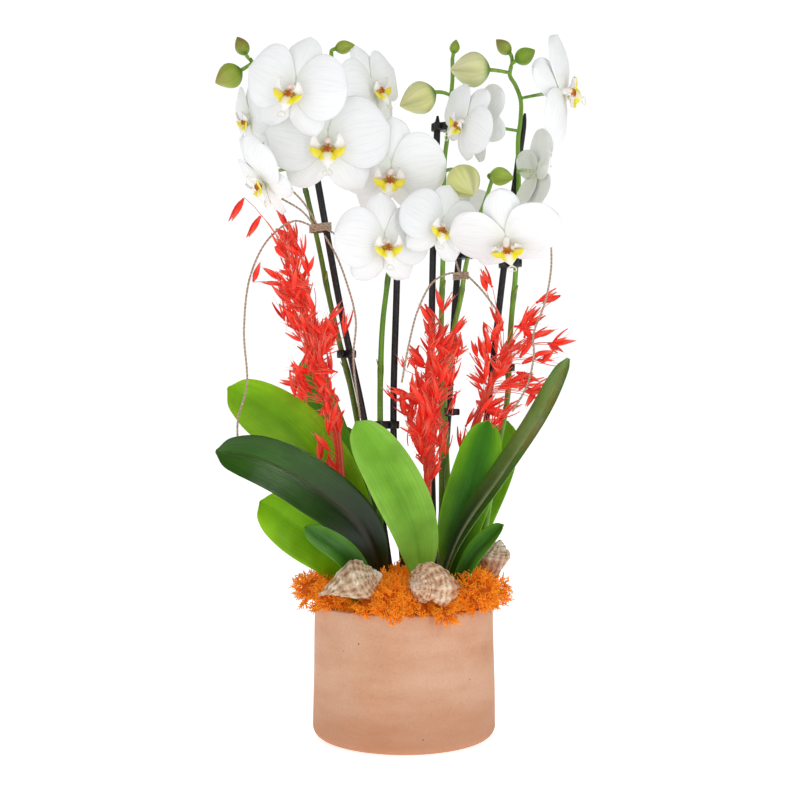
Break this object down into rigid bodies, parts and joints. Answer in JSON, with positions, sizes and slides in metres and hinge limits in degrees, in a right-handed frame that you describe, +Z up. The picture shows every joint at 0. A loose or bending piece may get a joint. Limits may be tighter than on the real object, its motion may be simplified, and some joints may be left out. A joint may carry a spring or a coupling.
{
  "type": "potted orchid",
  "caption": "Potted white moth orchid arrangement: arching flower spikes on black stakes, glossy leaves, red dyed oats, jute twine, orange moss and sea shells in a round cast pot",
  "frame": {"origin": "centre of the pot's flat underside", "axes": "+Z up along the plant's height, the arrangement's front looks along -Y, +X to the viewer's right"},
  "size_m": [0.3226, 0.167, 0.6126],
  "materials": {
    "pot": "cast, matt, warm terracotta with darker patches and small pits",
    "medium": "damp bark chips, matt",
    "moss": "dyed orange reindeer moss, matt and branching",
    "shell": "sun-bleached sea shell, chalky with a slight sheen",
    "leaf_green": "thick waxy leaf, satin, bright green",
    "leaf_dark": "thick waxy leaf, polished, deep green",
    "stem": "smooth green flower stem and buds, satin",
    "petal": "white waxy petal, softly translucent, yellow lip",
    "stake": "black dyed stake, satin",
    "clip": "black plastic stem clip, satin",
    "oats": "dyed dried oat husks, dry and papery",
    "twine": "natural jute, fuzzy"
  },
  "bodies": {
    "root": {"pot": "pot", "growing_medium": "medium", "moss_front": "moss", "moss_right": "moss", "moss_left": "moss", "moss_rear": "moss", "shell_left": "shell", "shell_front": "shell", "shell_right": "shell", "leaf_left_broad": "leaf_green", "leaf_left_low": "leaf_green", "leaf_rear_tall": "leaf_green", "leaf_rear_centre": "leaf_green", "leaf_front": "leaf_green", "leaf_right_round": "leaf_green", "leaf_right_rear": "leaf_green", "leaf_left_dark": "leaf_dark", "leaf_left_narrow": "leaf_dark", "leaf_right_long": "leaf_dark", "leaf_right_low": "leaf_dark", "spike_left": "stem", "spike_centre": "stem", "spike_mid": "stem", "spike_mid_rear": "stem", "spike_right": "stem", "flower_01": "petal", "flower_02": "petal", "flower_03": "petal", "flower_04": "petal", "flower_05": "petal", "flower_06": "petal", "flower_07": "petal", "flower_08": "petal", "flower_09": "petal", "flower_10": "petal", "flower_11": "petal", "flower_12": "petal", "flower_13": "petal", "flower_14": "petal", "stake_left": "stake", "stake_centre": "stake", "stake_mid": "stake", "stake_mid_rear": "stake", "stake_right": "stake", "clip_left": "clip", "clip_centre": "clip", "clip_mid_top": "clip", "clip_mid_rear": "clip", "clip_mid_low": "clip", "clip_right_low": "clip", "clip_right_mid": "clip", "oats_left": "oats", "oats_centre": "oats", "oats_right": "oats", "knot_left": "twine", "knot_mid": "twine", "twine_left_long": "twine", "twine_left_down": "twine", "twine_centre_arc": "twine", "twine_right_long": "twine"}
  },
  "joints": []
}
